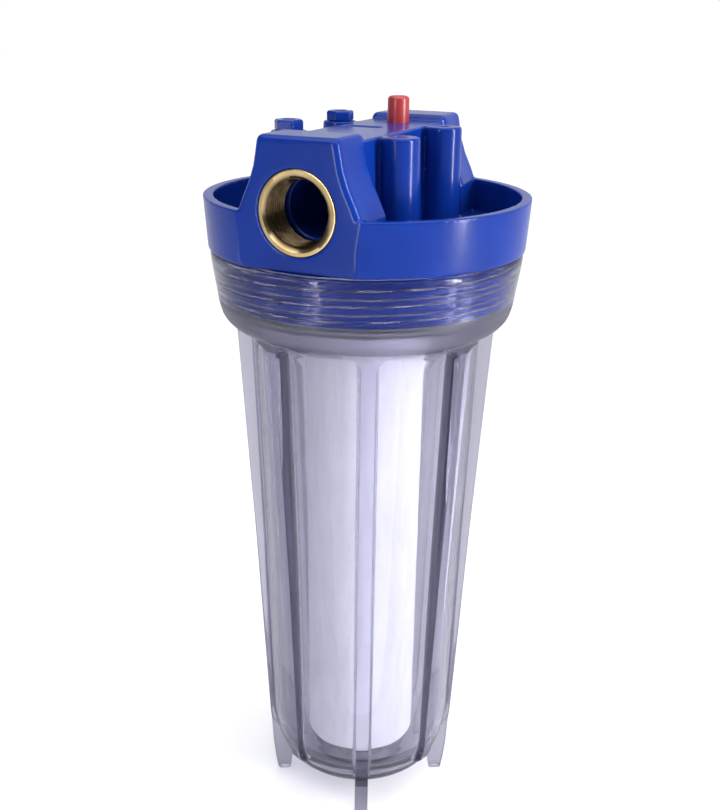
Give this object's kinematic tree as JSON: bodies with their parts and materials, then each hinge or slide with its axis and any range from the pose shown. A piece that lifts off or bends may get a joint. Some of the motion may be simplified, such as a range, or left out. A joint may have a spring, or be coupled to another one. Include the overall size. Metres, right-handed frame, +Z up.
{
  "type": "inline water filter housing",
  "caption": "Inline water filter: blue head with threaded brass ports and red vent button, clear ribbed screw-on sump, white sediment cartridge inside.",
  "frame": {"origin": "centre of the standing plane, on the axis of the sump and head", "axes": "+Z up the filter's axis; ports along Y, outlet facing -Y and inlet facing +Y; plugged bosses towards -X"},
  "size_m": [0.135, 0.1308, 0.3299],
  "materials": {
    "blue_plastic": "glossy moulded polypropylene",
    "clear_plastic": "clear, faintly lavender moulded plastic",
    "brass": "bright machined",
    "white_media": "matt melt-blown fibre",
    "core_plastic": "matt natural plastic",
    "red_plastic": "semi-gloss",
    "black_rubber": "matt",
    "steel": "bright drawn wire and strip"
  },
  "bodies": {
    "head": {"head": "blue_plastic", "inlet_insert": "brass", "outlet_insert": "brass", "gauge_plug_front": "blue_plastic", "gauge_plug_rear": "blue_plastic", "gauge_seal_front": "black_rubber", "gauge_seal_rear": "black_rubber"},
    "cartridge": {"filter_media": "white_media", "filter_core": "core_plastic", "filter_top_gasket": "black_rubber", "filter_bottom_gasket": "black_rubber", "sump_o_ring": "black_rubber"},
    "bowl": {"sump_bowl": "clear_plastic"},
    "vent": {"vent_button": "red_plastic", "vent_spring": "steel", "vent_o_ring": "black_rubber", "vent_clip": "steel"}
  },
  "joints": [
    {"name": "bowl_drop", "type": "slide", "parent": "head", "child": "cartridge", "axis": [0, 0, -1], "range_m": [0, 0.018]},
    {"name": "bowl_unscrew", "type": "hinge", "parent": "cartridge", "child": "bowl", "pos_m": [0, 0, 0.2], "axis": [0, 0, -1], "range_deg": [0, 1080]},
    {"name": "vent_press", "type": "slide", "parent": "head", "child": "vent", "axis": [0, 0, -1], "range_m": [0, 0.0025], "stiffness_N_per_m": 600, "springref_m": -0.002, "deforming": ["vent_spring"]}
  ],
  "couplings": [
    {"joint": "bowl_drop", "follows": "bowl_unscrew", "m_per_rad": 0.00095493}
  ]
}
